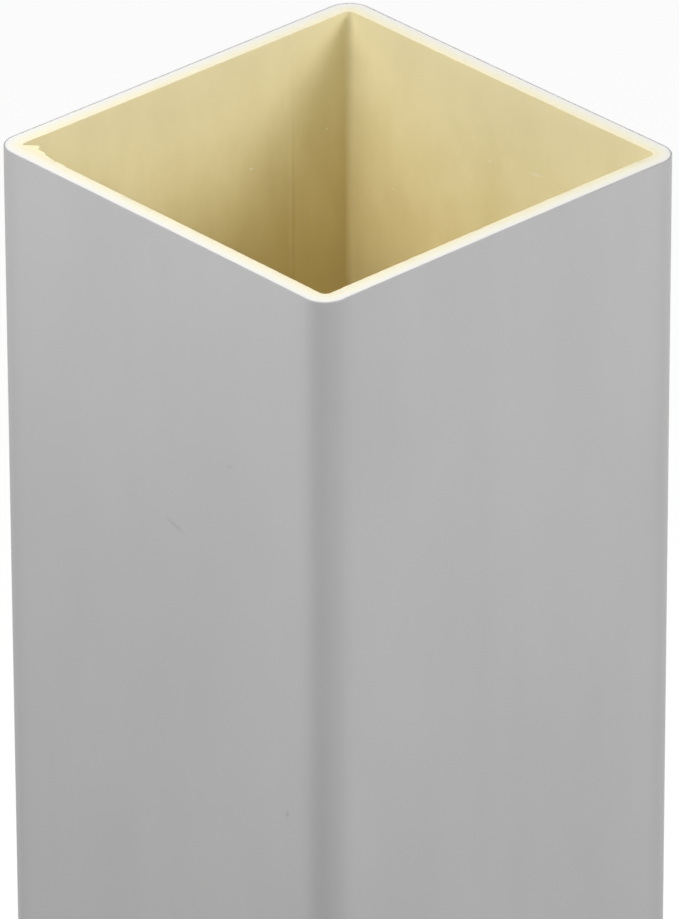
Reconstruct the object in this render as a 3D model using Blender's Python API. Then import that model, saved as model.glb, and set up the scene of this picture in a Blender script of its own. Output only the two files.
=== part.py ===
"""Porch column wrap: a square, hollow length of co-extruded rigid vinyl with rounded corners, open at both ends.

It stands on its bottom cut end. The origin is the centre of that end, +Z runs up the length, and the flat
faces look along X and Y. Units are metres.
"""
import math

import bmesh
import bpy

# Driving dimensions of the section and the length
OUTER_WIDTH = 0.1016
WALL = 0.0041
INNER_RADIUS = 0.0015
LENGTH = 1.000

# Both arcs of a corner share one centre, so the wall keeps its thickness round the corner
OUTER_RADIUS = INNER_RADIUS + WALL
CORNER_SEGMENTS = 8

# Grey outer skin, linear light
SKIN_COLOUR = (0.47, 0.47, 0.47, 1.0)
SKIN_ROUGHNESS = 0.45

# Edges of faces that meet at more than this stay sharp, as the sawn edges do
SHARP_FROM = math.radians(30)


def clear_scene():
    """Remove the objects that a new file holds."""
    for old in list(bpy.data.objects):
        bpy.data.objects.remove(old, do_unlink=True)


def vinyl():
    """Grey rigid vinyl with a satin skin."""
    material = bpy.data.materials.new("grey_vinyl")
    material.use_nodes = True
    shader = material.node_tree.nodes["Principled BSDF"]
    shader.inputs["Base Color"].default_value = SKIN_COLOUR
    shader.inputs["Roughness"].default_value = SKIN_ROUGHNESS
    shader.inputs["Metallic"].default_value = 0.0
    return material


def draw_section(mesh):
    """Flat section at height 0: a square with round corners, less the hollow one wall inside it."""
    square = bmesh.ops.create_grid(mesh, x_segments=1, y_segments=1, size=OUTER_WIDTH / 2)
    bmesh.ops.bevel(
        mesh,
        geom=square["verts"],
        offset=OUTER_RADIUS,
        offset_type="OFFSET",
        segments=CORNER_SEGMENTS,
        profile=0.5,
        affect="VERTICES",
        material=-1,
    )
    hollow = list(mesh.faces)
    bmesh.ops.inset_region(mesh, faces=hollow, thickness=WALL, use_boundary=True, use_even_offset=True)
    bmesh.ops.delete(mesh, geom=hollow, context="FACES")


def extrude_length(mesh):
    """Draw the flat section up to the full length, with a square cut at each end."""
    section = list(mesh.faces)
    drawn = bmesh.ops.extrude_face_region(mesh, geom=section, use_keep_orig=True)
    far_end = [item for item in drawn["geom"] if isinstance(item, bmesh.types.BMVert)]
    bmesh.ops.translate(mesh, verts=far_end, vec=(0, 0, LENGTH))
    bmesh.ops.recalc_face_normals(mesh, faces=mesh.faces)


def column_wrap():
    """The wrap, one piece: skin, wall and inner side leave the die together."""
    mesh = bmesh.new()
    draw_section(mesh)
    extrude_length(mesh)
    data = bpy.data.meshes.new("column_wrap")
    mesh.to_mesh(data)
    mesh.free()
    data.shade_smooth()
    data.set_sharp_from_angle(angle=SHARP_FROM)
    data.materials.append(vinyl())
    wrap = bpy.data.objects.new("column_wrap", data)
    bpy.context.collection.objects.link(wrap)
    flats = wrap.modifiers.new("even_shading", "WEIGHTED_NORMAL")
    flats.keep_sharp = True


clear_scene()
column_wrap()
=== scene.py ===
import math

import bmesh
import bpy
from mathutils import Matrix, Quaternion, Vector, noise


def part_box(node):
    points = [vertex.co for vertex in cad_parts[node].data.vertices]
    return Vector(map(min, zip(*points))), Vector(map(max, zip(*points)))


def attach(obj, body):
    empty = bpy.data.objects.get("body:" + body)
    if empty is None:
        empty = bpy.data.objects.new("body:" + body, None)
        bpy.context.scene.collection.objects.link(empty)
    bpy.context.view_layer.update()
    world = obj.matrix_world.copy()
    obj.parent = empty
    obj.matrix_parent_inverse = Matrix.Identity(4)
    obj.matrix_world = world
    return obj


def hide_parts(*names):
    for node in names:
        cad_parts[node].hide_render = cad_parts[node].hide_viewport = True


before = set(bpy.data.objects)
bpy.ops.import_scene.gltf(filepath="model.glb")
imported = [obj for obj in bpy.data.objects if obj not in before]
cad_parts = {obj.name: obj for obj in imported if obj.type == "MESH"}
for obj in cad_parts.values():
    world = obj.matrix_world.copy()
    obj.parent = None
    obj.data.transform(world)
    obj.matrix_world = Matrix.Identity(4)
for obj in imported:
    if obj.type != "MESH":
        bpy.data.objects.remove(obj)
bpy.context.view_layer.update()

# Column wrap, the section that leaves the die: a square pipe with round corners, in three layers of rigid
# PVC that are pressed out together, a thin grey skin, a white wall and a cream inner side. The flats draw in
# by a hair as the hot pipe cools in the sizing box, and nicks in the die leave ridges along the inner side.
SKIN_DEPTH = 0.00038
WHITE_DEPTH = 0.00212
CREAM_DEPTH = 0.0016
WALL = SKIN_DEPTH + WHITE_DEPTH + CREAM_DEPTH
OUTER_RADIUS = 0.0056
ARC_STEPS = 14
FLAT_STEPS = 300
SINK = 0.00012
# Painted shade: the skin's colour is darkened over each corner and this far along the flats beside it
CORNER_SHADE_REACH = 0.0025
# Ridges on each inner side: place across it and height
RIDGE_SPREAD = 0.0005
RIDGES = {
    "-X": ((0.0296, 0.00016), (0.0265, 0.000007), (-0.0080, 0.000006), (-0.0310, 0.000005)),
    "+X": ((0.0210, 0.000006), (-0.0170, 0.000016)),
    "-Y": ((-0.0250, 0.000012), (0.0120, 0.000006)),
    "+Y": ((-0.0330, 0.000007), (-0.0140, 0.000005), (0.0090, 0.000006), (0.0340, 0.000008)),
}
# Each point's place through the wall is 0 on the outside and 1 on the inner side
MID_WALL = 0.5
INNER_SIDE = 0.99
wrap_low, wrap_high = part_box("column_wrap")
HALF_WIDTH = (wrap_high.x - wrap_low.x) / 2
HALF_HOLLOW = HALF_WIDTH - WALL
FLAT_HALF = HALF_WIDTH - OUTER_RADIUS

wrap_mesh = bmesh.new()
through_wall = wrap_mesh.verts.layers.float.new("through_wall")
corner_painted_shade = wrap_mesh.verts.layers.float.new("corner_painted_shade")
outline = bmesh.ops.create_grid(wrap_mesh, x_segments=1, y_segments=1, size=HALF_WIDTH)
bmesh.ops.bevel(
    wrap_mesh, geom=outline["verts"], offset=OUTER_RADIUS, offset_type="OFFSET",
    segments=ARC_STEPS, profile=0.5, affect="VERTICES", material=-1,
)
flats = [edge for edge in wrap_mesh.edges if edge.calc_length() > FLAT_HALF]
bmesh.ops.subdivide_edges(wrap_mesh, edges=flats, cuts=FLAT_STEPS - 1)
hollow = list(wrap_mesh.faces)
depth = 0.0
for layer_depth in (SKIN_DEPTH, WHITE_DEPTH, CREAM_DEPTH):
    bmesh.ops.inset_region(
        wrap_mesh, faces=hollow, thickness=layer_depth, use_boundary=True, use_even_offset=True,
    )
    depth += layer_depth
    for vert in hollow[0].verts:
        vert[through_wall] = depth / WALL
bmesh.ops.delete(wrap_mesh, geom=hollow, context="FACES")


def side_of(point):
    """The side of the pipe that a point of the section is nearest to, and the point's place across it."""
    if abs(point.y) > abs(point.x):
        return ("+Y" if point.y > 0 else "-Y"), point.x
    return ("+X" if point.x > 0 else "-X"), point.y


def ridge_height(side, across):
    """Height of the die's ridges at a place across one inner side."""
    height = 0.0
    for place, top in RIDGES[side]:
        away = (across - place) / RIDGE_SPREAD
        height += top * math.exp(-away * away)
    return height


def draw_in(vert, inward):
    """Move a point of the section towards the middle of the pipe, straight in from the side that it is on."""
    side, across = side_of(vert.co)
    outwards = 1 if side[0] == "+" else -1
    if side[1] == "X":
        vert.co.x -= outwards * inward
    else:
        vert.co.y -= outwards * inward


for vert in wrap_mesh.verts:
    side, across = side_of(vert.co)
    # Share of the painted shade on the corners: 0 on the flats, 1 at the middle of each arc
    into_corner = [max(0.0, abs(part) - FLAT_HALF + CORNER_SHADE_REACH) for part in vert.co.xy]
    vert[corner_painted_shade] = math.sin(2 * math.atan2(*into_corner))
    inward = SINK * max(0.0, 1 - (across / FLAT_HALF) ** 2)
    if vert[through_wall] > INNER_SIDE:
        inward += ridge_height(side, across)
    draw_in(vert, inward)

# Column wrap, the length. It is drawn straight up and sawn square at both ends. The saw leaves each edge of
# the cut a little blunt and uneven, rougher on the inner side, where nothing backs the soft layer.
EDGE_BREAK = 0.00012
OUTER_ROUGHNESS = 0.00003
INNER_ROUGHNESS = 0.00006
TEAR_LENGTH = 0.0011
LENGTH = wrap_high.z - wrap_low.z
MIDDLE = (wrap_low.z + wrap_high.z) / 2
SHARP_FROM = math.radians(35)
SAWN_SLOT = 1
INNER_SLOT = 2

drawn = bmesh.ops.extrude_face_region(wrap_mesh, geom=list(wrap_mesh.faces), use_keep_orig=True)
top_points = [item for item in drawn["geom"] if isinstance(item, bmesh.types.BMVert)]
bmesh.ops.translate(wrap_mesh, verts=top_points, vec=(0, 0, LENGTH))
bmesh.ops.translate(wrap_mesh, verts=wrap_mesh.verts, vec=(0, 0, wrap_low.z))
bmesh.ops.recalc_face_normals(wrap_mesh, faces=wrap_mesh.faces)
for face in wrap_mesh.faces:
    face.smooth = True
    if abs(face.normal.z) > 0.9:
        face.material_index = SAWN_SLOT
    elif all(vert[through_wall] > MID_WALL for vert in face.verts):
        face.material_index = INNER_SLOT
cut_edges = [
    edge for edge in wrap_mesh.edges
    if {SAWN_SLOT} < {face.material_index for face in edge.link_faces}
]
bmesh.ops.bevel(
    wrap_mesh, geom=cut_edges, offset=EDGE_BREAK, offset_type="OFFSET",
    segments=2, profile=0.5, affect="EDGES", material=SAWN_SLOT,
)


def from_cut(vert):
    """How far a point is from the cut that it is nearest to, along the length."""
    return min(wrap_high.z - vert.co.z, vert.co.z - wrap_low.z)


def on_blunt_edge(vert):
    """Whether a point is on the middle line of a blunt edge, between the cut and the wall's side."""
    return 0.01 * EDGE_BREAK < from_cut(vert) < 0.6 * EDGE_BREAK


for vert in wrap_mesh.verts:
    if on_blunt_edge(vert):
        tear = noise.noise(vert.co / TEAR_LENGTH) + 0.5 * noise.noise(vert.co / TEAR_LENGTH * 3)
        if vert[through_wall] > MID_WALL:
            draw_in(vert, tear * INNER_ROUGHNESS)
        else:
            draw_in(vert, abs(tear * OUTER_ROUGHNESS))

# Column wrap, the burr. Where the blade left the cut, at one inner corner of the top end, it dragged the warm
# cream layer out over the hollow as a thin torn lip, which is longest just past the corner.
BURR_DROOP = 0.05
BURR_GRIT = 0.0006
BURR_ROUGHNESS = 0.00022
BURR_TINT = 1.25
# Outline of the lip: distance along the wall from its inner corner and reach over the hollow
BURR_OUTLINE = (
    (0.0004, 0.0), (0.0009, 0.00062), (0.0016, 0.0013), (0.0023, 0.00215), (0.0029, 0.0026),
    (0.0034, 0.0022), (0.0039, 0.0015), (0.0046, 0.00115), (0.0054, 0.0014), (0.0063, 0.00135),
    (0.0069, 0.0009), (0.0082, 0.00062), (0.0092, 0.00038), (0.0104, 0.00036), (0.0109, 0.00008),
    (0.0118, 0.00034), (0.0134, 0.00027), (0.0142, 0.00008), (0.0170, 0.0),
)


def burr_reach(along):
    """How far the lip stands over the hollow, by the distance along the wall from its inner corner."""
    for (start, start_reach), (end, end_reach) in zip(BURR_OUTLINE, BURR_OUTLINE[1:]):
        if start < along <= end:
            share = (along - start) / (end - start)
            return start_reach + (end_reach - start_reach) * share
    return 0.0


for vert in wrap_mesh.verts:
    is_near_burr = vert.co.x < 0 and vert.co.y < 0 and vert.co.z > MIDDLE
    if is_near_burr and on_blunt_edge(vert) and vert[through_wall] > MID_WALL:
        reach = burr_reach(vert.co.x + HALF_HOLLOW)
        lip = reach - HALF_HOLLOW
        if reach > 0 and lip > vert.co.y:
            lip += BURR_ROUGHNESS * noise.noise(vert.co / BURR_GRIT)
            vert.co.z -= BURR_DROOP * (lip - vert.co.y)
            vert.co.y = lip
            vert[through_wall] = BURR_TINT

for edge in wrap_mesh.edges:
    is_cut_edge = len({face.material_index for face in edge.link_faces}) > 1
    edge.smooth = not is_cut_edge and edge.calc_face_angle() < SHARP_FROM
wrap_data = bpy.data.meshes.new("column_wrap_drawn")
wrap_mesh.to_mesh(wrap_data)
wrap_mesh.free()
wrap = bpy.data.objects.new("column_wrap_drawn", wrap_data)
bpy.context.collection.objects.link(wrap)
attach(wrap, "root")
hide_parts("column_wrap")


# Column wrap, the grey skin. It is acrylic-capped rigid PVC, calendered smooth by the sizing box: an even
# satin grey with a broad soft gloss, the faintest lines and cloudy bands along the draw, and a fine matt
# grain. Its colour is darkened over the corners as painted shade, and handling has left small smudged rubs.
def linear(hex_colour):
    """Linear RGBA of an sRGB hex colour."""
    parts = [int(hex_colour[i:i + 2], 16) / 255 for i in (1, 3, 5)]
    return tuple(p / 12.92 if p <= 0.04045 else ((p + 0.055) / 1.055) ** 2.4 for p in parts) + (1.0,)


def add(tree, kind, links=(), **settings):
    """Add a node, set its properties and unlinked sockets, and link its inputs."""
    node = tree.nodes.new(kind)
    for name, value in settings.items():
        setattr(node, name, value)
    for socket, source in links:
        if isinstance(source, bpy.types.NodeSocket):
            tree.links.new(source, node.inputs[socket])
        else:
            node.inputs[socket].default_value = source
    return node


def new_material(name):
    """A material with no nodes yet, and its node tree."""
    material = bpy.data.materials.new(name)
    material.use_nodes = True
    material.node_tree.nodes.clear()
    return material, material.node_tree


def cloud(tree, place, across, along, detail, shift=0.0):
    """Noise with patches of one real size across the pipe and another along it."""
    laid = add(tree, "ShaderNodeMapping", [
        ("Vector", place), ("Location", (shift, shift, shift)),
        ("Scale", (1 / across, 1 / across, 1 / along)),
    ])
    return add(tree, "ShaderNodeTexNoise", [
        ("Vector", laid.outputs["Vector"]), ("Scale", 1.0), ("Detail", detail), ("Roughness", 0.55),
    ]).outputs["Fac"]


def weighed(tree, *parts):
    """Sum of patterns, each times its own weight."""
    total = 0.0
    for pattern, weight in parts:
        total = add(tree, "ShaderNodeMath", [
            (0, pattern), (1, weight), (2, total),
        ], operation="MULTIPLY_ADD").outputs["Value"]
    return total


def patch(tree, place, spot, size, turn, grit, ragged_by, core, rim, strength):
    """Mask of a ragged patch: full strength inside the core, 0 past the rim, both as shares of its size."""
    laid = add(tree, "ShaderNodeMapping", [
        ("Vector", place), ("Location", spot), ("Rotation", (0, math.radians(turn), 0)), ("Scale", size),
    ], vector_type="TEXTURE")
    away = add(tree, "ShaderNodeVectorMath", [(0, laid.outputs["Vector"])], operation="LENGTH")
    return add(tree, "ShaderNodeMapRange", [
        ("Value", weighed(tree, (away.outputs["Value"], 1.0), (grit, ragged_by))),
        ("From Min", rim + ragged_by / 2), ("From Max", core + ragged_by / 2),
        ("To Min", 0.0), ("To Max", strength),
    ]).outputs["Result"]


GREY_DARK = "#AAAAAA"
GREY_LIGHT = "#AFAFAF"
RUB_GREY = "#8C8C8C"
# Painted shade: the share of the grey that is kept at the middle of each corner arc
CORNER_SHADE = 0.90
LINE_WIDTH = 0.0009
BAND_WIDTH = 0.007
CLOUD_WIDTH = 0.035
# The real grain is near 0.1 mm. It is drawn three times as coarse, so that the render can hold it.
GRAIN_WIDTH = 0.0003
LINE_RELIEF = 0.000002
GRAIN_RELIEF = 0.000009
SMEAR_WIDTH = 0.0006
RUB_STRENGTH = 0.45
# Rubs on the left face: place across the face, drop below the cut, half width, half height and turn.
# They fade out before they reach their full size.
RUBS = (
    (0.0048, 0.0682, 0.0050, 0.0010, 18),
    (0.0217, 0.0478, 0.0020, 0.0007, -25),
    (0.0390, 0.1230, 0.0012, 0.0016, 35),
)

skin, tree = new_material("satin_pvc_skin")
place = add(tree, "ShaderNodeTexCoord").outputs["Object"]
lines = cloud(tree, place, LINE_WIDTH, 0.4, 3.0)
bands = cloud(tree, place, BAND_WIDTH, 0.9, 2.0, shift=7.3)
clouds = cloud(tree, place, CLOUD_WIDTH, CLOUD_WIDTH * 2.2, 4.0, shift=2.1)
grain = cloud(tree, place, GRAIN_WIDTH, GRAIN_WIDTH, 2.0)
tone = weighed(tree, (clouds, 0.8), (bands, 0.13), (lines, 0.07))
grey = add(tree, "ShaderNodeValToRGB", [("Fac", tone)])
grey.color_ramp.elements[0].position = 0.36
grey.color_ramp.elements[0].color = linear(GREY_DARK)
grey.color_ramp.elements[1].position = 0.64
grey.color_ramp.elements[1].color = linear(GREY_LIGHT)
# Painted shade: the grey is darkened over the corner arcs
in_corner = add(tree, "ShaderNodeAttribute", attribute_name="corner_painted_shade").outputs["Fac"]
corner_shade_factor = add(tree, "ShaderNodeMapRange", [("Value", in_corner), ("To Min", 1.0), ("To Max", CORNER_SHADE)])
colour = add(tree, "ShaderNodeVectorMath", [
    (0, grey.outputs["Color"]), (3, corner_shade_factor.outputs["Result"]),
], operation="SCALE").outputs["Vector"]
smear = cloud(tree, place, SMEAR_WIDTH, SMEAR_WIDTH, 3.0, shift=4.4)
for across, drop, wide, tall, turn in RUBS:
    spot = Vector((across, -HALF_WIDTH, wrap_high.z - drop))
    rub = patch(
        tree, place, spot, (wide, wide, tall), turn,
        grit=smear, ragged_by=1.6, core=0.1, rim=0.7, strength=RUB_STRENGTH,
    )
    colour = add(tree, "ShaderNodeMix", [
        (0, rub), (6, colour), (7, linear(RUB_GREY)),
    ], data_type="RGBA").outputs[2]
gloss = add(tree, "ShaderNodeMapRange", [
    ("Value", weighed(tree, (lines, 0.5), (clouds, 0.5))), ("From Min", 0.35), ("From Max", 0.65),
    ("To Min", 0.40), ("To Max", 0.50),
])
drawn_relief = add(tree, "ShaderNodeBump", [
    ("Strength", 1.0), ("Distance", LINE_RELIEF), ("Height", lines),
])
relief = add(tree, "ShaderNodeBump", [
    ("Strength", 1.0), ("Distance", GRAIN_RELIEF), ("Height", grain),
    ("Normal", drawn_relief.outputs["Normal"]),
])
shader = add(tree, "ShaderNodeBsdfPrincipled", [
    ("Base Color", colour), ("Roughness", gloss.outputs["Result"]), ("IOR", 1.5),
    ("Normal", relief.outputs["Normal"]),
])
add(tree, "ShaderNodeOutputMaterial", [("Surface", shader.outputs["BSDF"])])
wrap_data.materials.append(skin)

# Column wrap, the sawn ends. The cut shows the three layers as grey, white and cream lines round the rim.
# Sawn rigid PVC is matt and chalky, with fine blade marks that run slantwise across the pipe and a crumb of
# swarf. The burr is the warmest cream, as it is torn from the inner layer alone.
# Painted shade: the white next to the skin line is painted a shade greyer, where the cut's outer edge rounds
# off
CUT_EDGE_SHADE = "#DDDBDA"
CUT_WHITE = "#E4E2D8"
CUT_SOFT = "#E5E2D0"
CUT_CREAM = "#E7DFC0"
BURR_CREAM = "#E6E2B7"
CUT_SKIN = "#A6A6A6"
SKIN_SHARE = SKIN_DEPTH / WALL
BLADE_SPACING = 0.0009
BLADE_RELIEF = 0.000008
CRUMB_WIDTH = 0.00028
CRUMB_RELIEF = 0.00002
FEED_TURN = math.radians(24)
WAVER_WIDTH = 0.006

sawn, tree = new_material("sawn_pvc_end")
place = add(tree, "ShaderNodeTexCoord").outputs["Object"]
depth_in = add(tree, "ShaderNodeAttribute", attribute_name="through_wall").outputs["Fac"]
waver = cloud(tree, place, WAVER_WIDTH, WAVER_WIDTH, 3.0)
crumb = cloud(tree, place, CRUMB_WIDTH, CRUMB_WIDTH, 3.0)
laid = add(tree, "ShaderNodeMapping", [("Vector", place), ("Rotation", (0, 0, FEED_TURN))])
blade = add(tree, "ShaderNodeTexWave", [
    ("Vector", laid.outputs["Vector"]), ("Scale", math.pi / (10 * BLADE_SPACING)), ("Distortion", 2.5),
    ("Detail", 3.0), ("Detail Scale", 0.4), ("Detail Roughness", 0.6),
]).outputs["Fac"]
wandering = weighed(tree, (depth_in, 1 / BURR_TINT), (waver, 0.2), (crumb, 0.06))
layers = add(tree, "ShaderNodeValToRGB", [("Fac", wandering)])
stops = layers.color_ramp.elements
# Painted shade along the cut's outer edge, just inside the skin line
stops[0].position = 0.22
stops[0].color = linear(CUT_EDGE_SHADE)
stops[1].position = 1.0
stops[1].color = linear(BURR_CREAM)
for position, shade in (
    (0.32, CUT_WHITE), (0.40, CUT_WHITE), (0.54, CUT_SOFT), (0.78, CUT_CREAM), (0.92, CUT_CREAM),
):
    stop = stops.new(position)
    stop.color = linear(shade)
dust = add(tree, "ShaderNodeMapRange", [
    ("Value", weighed(tree, (blade, 0.25), (crumb, 0.75))), ("From Min", 0.2), ("From Max", 0.8),
    ("To Min", 0.96), ("To Max", 1.03),
])
dusted = add(tree, "ShaderNodeVectorMath", [
    (0, layers.outputs["Color"]), (3, dust.outputs["Result"]),
], operation="SCALE")
skin_line = add(tree, "ShaderNodeMapRange", [
    ("Value", depth_in), ("From Min", SKIN_SHARE * 0.85), ("From Max", SKIN_SHARE * 1.15),
])
shown = add(tree, "ShaderNodeMix", [
    (0, skin_line.outputs["Result"]), (6, linear(CUT_SKIN)), (7, dusted.outputs["Vector"]),
], data_type="RGBA")
chalk = add(tree, "ShaderNodeMapRange", [
    ("Value", crumb), ("From Min", 0.3), ("From Max", 0.7), ("To Min", 0.58), ("To Max", 0.75),
])
blade_relief = add(tree, "ShaderNodeBump", [
    ("Strength", 1.0), ("Distance", BLADE_RELIEF), ("Height", blade),
])
relief = add(tree, "ShaderNodeBump", [
    ("Strength", 1.0), ("Distance", CRUMB_RELIEF), ("Height", crumb),
    ("Normal", blade_relief.outputs["Normal"]),
])
shader = add(tree, "ShaderNodeBsdfPrincipled", [
    ("Base Color", shown.outputs[2]), ("Roughness", chalk.outputs["Result"]), ("IOR", 1.53),
    ("Normal", relief.outputs["Normal"]),
])
add(tree, "ShaderNodeOutputMaterial", [("Surface", shader.outputs["BSDF"])])
wrap_data.materials.append(sawn)

# Column wrap, the inner side. This is rigid PVC without a skin, cream and nearly matt, with flow lines along
# the draw and a mottled orange-peel surface. The first few centimetres next to each cut are painted paler, as
# painted light where light comes in at the open ends; sawdust lies there as a few white specks, and a light
# scrape or two has paled it.
CREAM = "#E5D59D"
SCRAPED_CREAM = "#FDF8E4"
# Painted light: the paler cream next to each cut
PAINTED_LIGHT_CREAM = "#F1E7BC"
SAWDUST = "#FBF7E6"
# The painted light fades out this far from the cut and would be full this far past it, along a wandering
# front
PAINTED_LIGHT_REACH = 0.055
PAINTED_LIGHT_PAST = 0.012
PAINTED_LIGHT_WANDER = 0.03
FLOW_WIDTH = 0.0016
MOTTLE_WIDTH = 0.009
PEEL_WIDTH = 0.0016
FLOW_RELIEF = 0.000002
PEEL_RELIEF = 0.000012
SPECK_SPACING = 0.011
SPECK_RADIUS = 0.00026
# Specks of sawdust: place on the inner side, from the cut's middle, half width and half height
SPECKS = (
    (Vector((-HALF_HOLLOW, 0.0180, -0.0280)), 0.00055, 0.0004),
    (Vector((-HALF_HOLLOW, 0.0400, -0.0260)), 0.0004, 0.0004),
)
SCRAPE_STRENGTH = 0.35
# Scrapes: the same, and the turn
SCRAPES = (
    (Vector((0.0110, HALF_HOLLOW, -0.0180)), 0.0022, 0.0005, -8),
    (Vector((-0.0030, HALF_HOLLOW, -0.0200)), 0.0007, 0.0006, 20),
)

inner, tree = new_material("cream_pvc_inner_side")
place = add(tree, "ShaderNodeTexCoord").outputs["Object"]
flow = cloud(tree, place, FLOW_WIDTH, 0.5, 3.0)
mottle = cloud(tree, place, MOTTLE_WIDTH, MOTTLE_WIDTH * 1.8, 5.0, shift=1.7)
peel = cloud(tree, place, PEEL_WIDTH, PEEL_WIDTH * 1.5, 2.0)
height = add(tree, "ShaderNodeSeparateXYZ", [("Vector", place)]).outputs["Z"]
from_middle = add(tree, "ShaderNodeMath", [(0, height), (1, MIDDLE)], operation="SUBTRACT")
to_cut = add(tree, "ShaderNodeMath", [(0, from_middle.outputs["Value"])], operation="ABSOLUTE")
# Painted light: the cream is painted paler towards each cut, where light comes in at the open end
painted_light_front = add(tree, "ShaderNodeMath", [
    (0, mottle), (1, PAINTED_LIGHT_WANDER), (2, to_cut.outputs["Value"]),
], operation="MULTIPLY_ADD")
painted_light_near_cut = add(tree, "ShaderNodeMapRange", [
    ("Value", painted_light_front.outputs["Value"]), ("From Min", LENGTH / 2 - PAINTED_LIGHT_REACH + PAINTED_LIGHT_WANDER / 2),
    ("From Max", LENGTH / 2 + PAINTED_LIGHT_PAST),
], interpolation_type="SMOOTHSTEP")
cream = add(tree, "ShaderNodeMix", [
    (0, painted_light_near_cut.outputs["Result"]), (6, linear(CREAM)), (7, linear(PAINTED_LIGHT_CREAM)),
], data_type="RGBA")
shade = add(tree, "ShaderNodeMapRange", [
    ("Value", weighed(tree, (mottle, 0.9), (flow, 0.1))), ("From Min", 0.35), ("From Max", 0.65),
    ("To Min", 0.98), ("To Max", 1.02),
])
toned = add(tree, "ShaderNodeVectorMath", [
    (0, cream.outputs[2]), (3, shade.outputs["Result"]),
], operation="SCALE")
colour = toned.outputs["Vector"]
for spot, wide, tall in SPECKS:
    speck = patch(
        tree, place, spot + Vector((0, 0, wrap_high.z)), (wide, wide, tall), 0,
        grit=peel, ragged_by=0.4, core=0.6, rim=1.0, strength=1.0,
    )
    colour = add(tree, "ShaderNodeMix", [
        (0, speck), (6, colour), (7, linear(SAWDUST)),
    ], data_type="RGBA").outputs[2]
for spot, wide, tall, turn in SCRAPES:
    scrape = patch(
        tree, place, spot + Vector((0, 0, wrap_high.z)), (wide, wide, tall), turn,
        grit=peel, ragged_by=1.6, core=0.6, rim=1.0, strength=SCRAPE_STRENGTH,
    )
    colour = add(tree, "ShaderNodeMix", [
        (0, scrape), (6, colour), (7, linear(SCRAPED_CREAM)),
    ], data_type="RGBA").outputs[2]
seeds = add(tree, "ShaderNodeTexVoronoi", [("Vector", place), ("Scale", 1 / SPECK_SPACING)])
strewn = add(tree, "ShaderNodeMapRange", [
    ("Value", seeds.outputs["Distance"]), ("From Min", SPECK_RADIUS / SPECK_SPACING),
    ("From Max", 0.5 * SPECK_RADIUS / SPECK_SPACING), ("To Min", 0.0), ("To Max", 0.7),
])
colour = add(tree, "ShaderNodeMix", [
    (0, strewn.outputs["Result"]), (6, colour), (7, linear(SAWDUST)),
], data_type="RGBA").outputs[2]
matt = add(tree, "ShaderNodeMapRange", [
    ("Value", mottle), ("From Min", 0.3), ("From Max", 0.7), ("To Min", 0.5), ("To Max", 0.64),
])
flow_relief = add(tree, "ShaderNodeBump", [
    ("Strength", 1.0), ("Distance", FLOW_RELIEF), ("Height", flow),
])
relief = add(tree, "ShaderNodeBump", [
    ("Strength", 1.0), ("Distance", PEEL_RELIEF), ("Height", peel),
    ("Normal", flow_relief.outputs["Normal"]),
])
shader = add(tree, "ShaderNodeBsdfPrincipled", [
    ("Base Color", colour), ("Roughness", matt.outputs["Result"]), ("IOR", 1.53),
    ("Normal", relief.outputs["Normal"]),
])
add(tree, "ShaderNodeOutputMaterial", [("Surface", shader.outputs["BSDF"])])
wrap_data.materials.append(inner)

# Floor: a plain pale sheet, wide enough that the camera never sees past it. It glows with painted light,
# though it is no lamp, and the glow is dimmer round the column as painted shade, so that the background is
# white and the column still stands on something.
FLOOR_HALF = 15.0
FLOOR_GAP = 0.0002
FLOOR_WHITE = "#F5F5F5"
NEAR_GLOW = 0.25
FAR_GLOW = 0.92
GLOW_START = 0.4
GLOW_END = 1.4
floor_mesh = bmesh.new()
bmesh.ops.create_grid(floor_mesh, x_segments=1, y_segments=1, size=FLOOR_HALF)
bmesh.ops.translate(floor_mesh, verts=floor_mesh.verts, vec=(0, 0, wrap_low.z - FLOOR_GAP))
floor_data = bpy.data.meshes.new("floor")
floor_mesh.to_mesh(floor_data)
floor_mesh.free()
floor = bpy.data.objects.new("floor", floor_data)
bpy.context.collection.objects.link(floor)
pale, tree = new_material("pale_floor")
place = add(tree, "ShaderNodeTexCoord").outputs["Object"]
away = add(tree, "ShaderNodeVectorMath", [(0, place)], operation="LENGTH").outputs["Value"]
glow = add(tree, "ShaderNodeMapRange", [
    ("Value", away), ("From Min", GLOW_START), ("From Max", GLOW_END),
    ("To Min", NEAR_GLOW), ("To Max", FAR_GLOW),
], interpolation_type="SMOOTHSTEP")
shader = add(tree, "ShaderNodeBsdfPrincipled", [
    ("Base Color", linear(FLOOR_WHITE)), ("Roughness", 0.9),
    ("Emission Color", (1, 1, 1, 1)), ("Emission Strength", glow.outputs["Result"]),
])
add(tree, "ShaderNodeOutputMaterial", [("Surface", shader.outputs["BSDF"])])
floor_data.materials.append(pale)

# Camera: it looks down on the near corner of the top cut, from 47 degrees to the right of straight on.
CAMERA_AZIMUTH = math.radians(47.3)
CAMERA_PITCH = math.radians(28.2)
CAMERA_ROLL = math.radians(-0.2)
CAMERA_DISTANCE = 2.40
CAMERA_LENS = 446
AIM_SIDE = 0.0002
AIM_DROP = 0.0732
ahead = Vector((-math.sin(CAMERA_AZIMUTH), math.cos(CAMERA_AZIMUTH), 0))
aside = Vector((math.cos(CAMERA_AZIMUTH), math.sin(CAMERA_AZIMUTH), 0))
look = ahead * math.cos(CAMERA_PITCH) - Vector((0, 0, math.sin(CAMERA_PITCH)))
rim_centre = Vector(((wrap_low.x + wrap_high.x) / 2, (wrap_low.y + wrap_high.y) / 2, wrap_high.z))
aim = rim_centre + aside * AIM_SIDE - Vector((0, 0, AIM_DROP))
camera_data = bpy.data.cameras.new("camera")
camera_data.lens = CAMERA_LENS
camera_data.sensor_width = 36
camera = bpy.data.objects.new("camera", camera_data)
bpy.context.collection.objects.link(camera)
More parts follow.
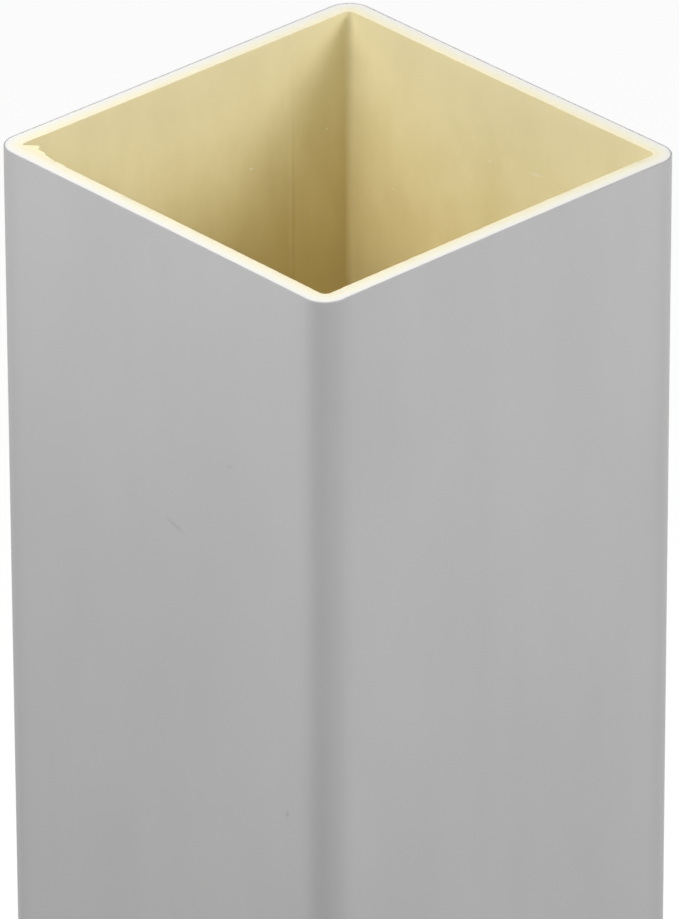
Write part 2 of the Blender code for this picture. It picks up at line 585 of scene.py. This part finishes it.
camera.location = aim - look * CAMERA_DISTANCE
camera.rotation_mode = "QUATERNION"
camera.rotation_quaternion = Quaternion(look, -CAMERA_ROLL) @ look.to_track_quat("-Z", "Y")
bpy.context.scene.camera = camera


# Studio light: a high soft box on the left, two lower ones on the right, one in front and one behind that
# clears up the rim, each aimed at the top cut, in a dark room that is white at the horizon, where the sweep
# ends.
def soft_box(name, turn, rise, distance, size, strength):
    """A square soft light: turn is degrees to the right of the camera, rise is degrees above the rim. Its
    strength is what it gives the rim, as a share of a white room's light."""
    turn = math.radians(turn)
    rise = math.radians(rise)
    towards = (-ahead * math.cos(turn) + aside * math.sin(turn)) * math.cos(rise)
    towards += Vector((0, 0, math.sin(rise)))
    light = bpy.data.lights.new(name, "AREA")
    light.shape = "SQUARE"
    light.size = size
    light.energy = strength * (math.pi * distance) ** 2
    lamp = bpy.data.objects.new(name, light)
    bpy.context.collection.objects.link(lamp)
    lamp.location = rim_centre + towards * distance
    lamp.rotation_mode = "QUATERNION"
    lamp.rotation_quaternion = (-towards).to_track_quat("-Z", "Y")
    lamp.visible_camera = False


soft_box("left_soft_box", -90, 60, 0.6, 0.3, 0.506)
soft_box("right_soft_box", 75, 25, 0.9, 0.4, 0.475)
soft_box("low_right_soft_box", 60, 20, 0.7, 0.3, 0.178)
soft_box("front_soft_box", -40, 40, 0.7, 0.35, 0.619)
soft_box("back_soft_box", 180, 35, 0.9, 0.6, 0.325)

ROOM_LIGHT = 0.0
BAND_LIGHT = 0.95
BAND_TOP = math.sin(math.radians(3))
BAND_END = math.sin(math.radians(6))
world = bpy.data.worlds.new("studio")
world.use_nodes = True
tree = world.node_tree
direction = add(tree, "ShaderNodeTexCoord").outputs["Generated"]
rise = add(tree, "ShaderNodeSeparateXYZ", [("Vector", direction)]).outputs["Z"]
level = add(tree, "ShaderNodeMath", [(0, rise)], operation="ABSOLUTE").outputs["Value"]
room = add(tree, "ShaderNodeMapRange", [
    ("Value", level), ("From Min", BAND_TOP), ("From Max", BAND_END),
    ("To Min", BAND_LIGHT), ("To Max", ROOM_LIGHT),
])
background = tree.nodes["Background"]
background.inputs["Color"].default_value = (1, 1, 1, 1)
tree.links.new(room.outputs["Result"], background.inputs["Strength"])
bpy.context.scene.world = world
bpy.context.scene.view_settings.view_transform = "Standard"
